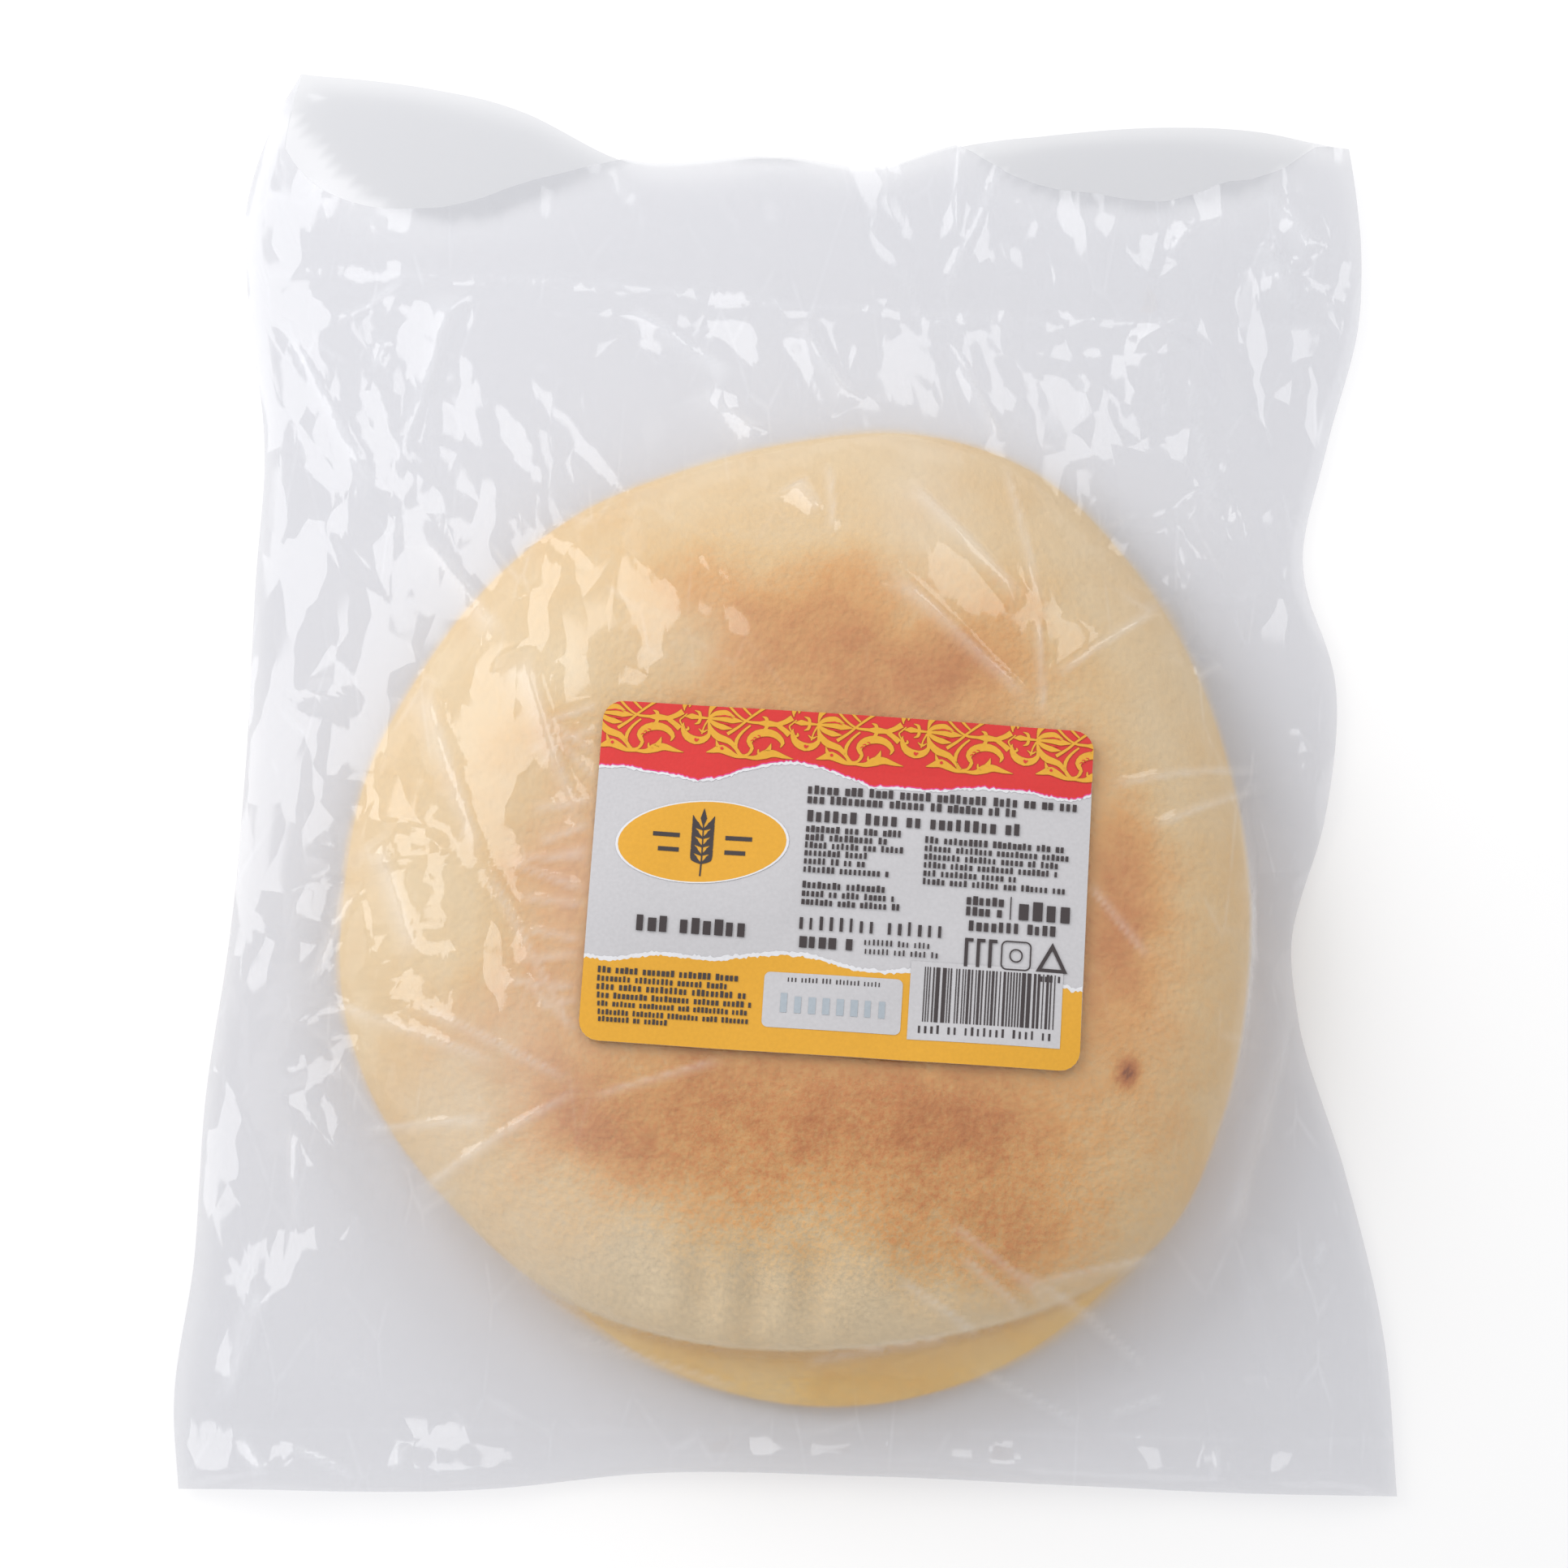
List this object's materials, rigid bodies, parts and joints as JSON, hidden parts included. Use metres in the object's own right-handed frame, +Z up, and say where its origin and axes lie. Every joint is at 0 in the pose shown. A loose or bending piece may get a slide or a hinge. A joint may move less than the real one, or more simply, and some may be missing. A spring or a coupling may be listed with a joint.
{
  "type": "packed flatbread",
  "caption": "Round flatbreads stacked in a clear sealed film bag that lies flat, with a bent paper label stuck on top.",
  "frame": {"origin": "on the table under the middle of the lying bag's bounding box", "axes": "+Z up from the table, +Y along the bag towards its open end, +X to the right across the bag, as the label is read"},
  "size_m": [0.2511, 0.31, 0.0364],
  "materials": {
    "film_over_bread": "clear crumpled film with a glossy face, over pale golden bread",
    "label_paper": "printed paper with a faint sheen"
  },
  "bodies": {
    "root": {"bag": "film_over_bread", "label": "label_paper"}
  },
  "joints": []
}
